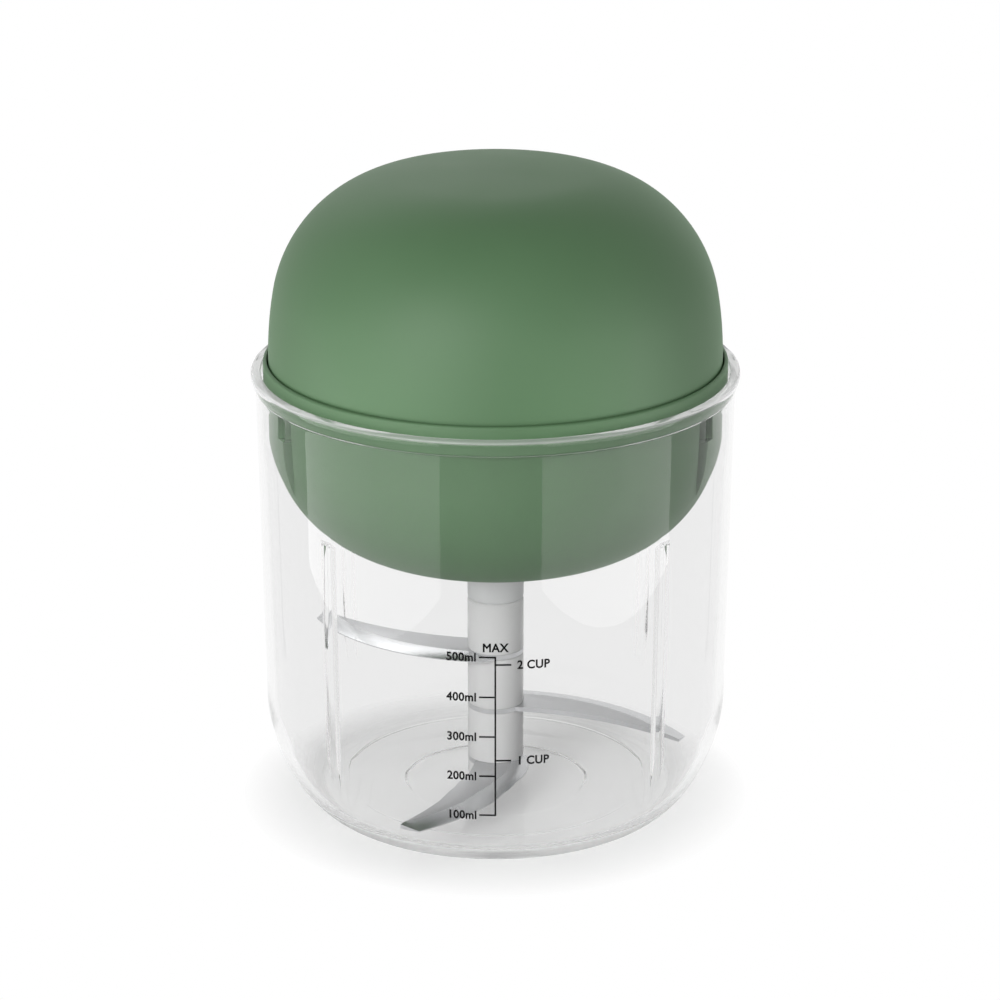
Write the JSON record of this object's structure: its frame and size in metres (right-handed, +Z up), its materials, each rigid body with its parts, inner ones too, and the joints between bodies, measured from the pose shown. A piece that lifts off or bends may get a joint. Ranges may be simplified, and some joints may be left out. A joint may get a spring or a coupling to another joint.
{
  "type": "cordless food chopper",
  "caption": "Cordless food chopper: a clear round cup with a stacked sickle-blade column, and a rounded motor head that is pressed down to run the blades.",
  "frame": {"origin": "centre of the ring that the cup stands on, on the table", "axes": "+Z up along the blade axis, -Y towards the front with the printed scale, +X to the right seen from the front"},
  "size_m": [0.1192, 0.1192, 0.1613],
  "materials": {
    "clear_plastic": "clear moulded copolyester, polished",
    "green_plastic": "moulded ABS in sage green with a satin surface",
    "green_rubber": "matt silicone in sage green",
    "frosted_plastic": "translucent moulded polypropylene",
    "natural_plastic": "natural moulded acetal",
    "grey_plastic": "moulded nylon in grey",
    "black_plastic": "moulded ABS in black",
    "red_plastic": "moulded acetal in red",
    "black_rubber": "moulded nitrile rubber",
    "blade_steel": "stamped stainless steel, ground edge",
    "polished_steel": "ground steel",
    "zinc_steel": "zinc-plated pressed steel",
    "bronze": "sintered bronze",
    "copper_winding": "enamelled copper",
    "ferrite": "sintered ferrite",
    "cell_wrap": "shrink wrap in blue",
    "board_laminate": "solder mask in green"
  },
  "bodies": {
    "cup": {"cup": "clear_plastic", "pivot_pin": "polished_steel"},
    "blades": {"hub_core": "natural_plastic", "pivot_bushes": "bronze", "hub_base": "frosted_plastic", "spacer_lower": "frosted_plastic", "spacer_middle": "frosted_plastic", "spacer_upper": "frosted_plastic", "blade_lower": "blade_steel", "blade_middle": "blade_steel", "blade_upper": "blade_steel", "drive_coupler": "grey_plastic"},
    "head": {"lower_housing": "green_plastic", "shaft_seal": "black_rubber", "output_bearing": "polished_steel", "gear_case": "black_plastic", "gear_cover": "zinc_steel", "gear_case_screws": "zinc_steel", "motor_can": "zinc_steel", "motor_end_cap": "black_plastic", "motor_magnets": "ferrite", "motor_bushes": "bronze", "motor_screws": "zinc_steel", "chassis": "black_plastic", "chassis_screws": "zinc_steel", "battery_holder": "black_plastic", "battery_cells": "cell_wrap", "circuit_board": "board_laminate", "board_screws": "zinc_steel", "charge_port": "zinc_steel", "switch_body": "black_plastic", "return_springs": "polished_steel"},
    "carrier": {"planet_carrier": "zinc_steel", "planet_pins": "polished_steel", "output_shaft": "polished_steel", "drive_dog": "grey_plastic"},
    "planet_1": {"planet_gear_1": "natural_plastic"},
    "planet_2": {"planet_gear_2": "natural_plastic"},
    "planet_3": {"planet_gear_3": "natural_plastic"},
    "rotor": {"sun_gear": "bronze", "motor_shaft": "polished_steel", "armature": "copper_winding", "commutator": "copper_winding"},
    "dome": {"dome_cover": "green_plastic", "dome_screws": "zinc_steel"},
    "plunger": {"switch_plunger": "red_plastic"},
    "flap": {"port_flap": "green_rubber"}
  },
  "joints": [
    {"name": "blade_spin", "type": "hinge", "parent": "cup", "child": "blades", "pos_m": [0, 0, 0.005], "axis": [0, 0, 1], "continuous": true},
    {"name": "head_lift", "type": "slide", "parent": "cup", "child": "head", "axis": [0, 0, 1], "range_m": [0, 0.1]},
    {"name": "carrier_spin", "type": "hinge", "parent": "head", "child": "carrier", "pos_m": [0, 0, 0.08], "axis": [0, 0, 1], "continuous": true},
    {"name": "planet_1_spin", "type": "hinge", "parent": "carrier", "child": "planet_1", "pos_m": [0.0105, 0, 0.085], "axis": [0, 0, 1], "continuous": true},
    {"name": "planet_2_spin", "type": "hinge", "parent": "carrier", "child": "planet_2", "pos_m": [-0.00525, 0.00909, 0.085], "axis": [0, 0, 1], "continuous": true},
    {"name": "planet_3_spin", "type": "hinge", "parent": "carrier", "child": "planet_3", "pos_m": [-0.00525, -0.00909, 0.085], "axis": [0, 0, 1], "continuous": true},
    {"name": "rotor_spin", "type": "hinge", "parent": "head", "child": "rotor", "pos_m": [0, 0, 0.1], "axis": [0, 0, 1], "continuous": true},
    {"name": "dome_press", "type": "slide", "parent": "head", "child": "dome", "axis": [0, 0, -1], "range_m": [0, 0.002], "stiffness_N_per_m": 1000, "springref_m": -0.003, "deforming": ["return_springs"]},
    {"name": "plunger_press", "type": "slide", "parent": "head", "child": "plunger", "axis": [0, 0, -1], "range_m": [0, 0.0017]},
    {"name": "port_flap_hinge", "type": "hinge", "parent": "dome", "child": "flap", "pos_m": [0, 0.0553, 0.1178], "axis": [-1, 0, 0], "range_deg": [0, 100]}
  ],
  "couplings": [
    {"joint": "carrier_spin", "follows": "blade_spin", "ratio": 1},
    {"joint": "planet_1_spin", "follows": "blade_spin", "ratio": -2.6667},
    {"joint": "planet_2_spin", "follows": "blade_spin", "ratio": -2.6667},
    {"joint": "planet_3_spin", "follows": "blade_spin", "ratio": -2.6667},
    {"joint": "rotor_spin", "follows": "blade_spin", "ratio": 5},
    {"joint": "plunger_press", "follows": "dome_press", "ratio": 0.85}
  ]
}
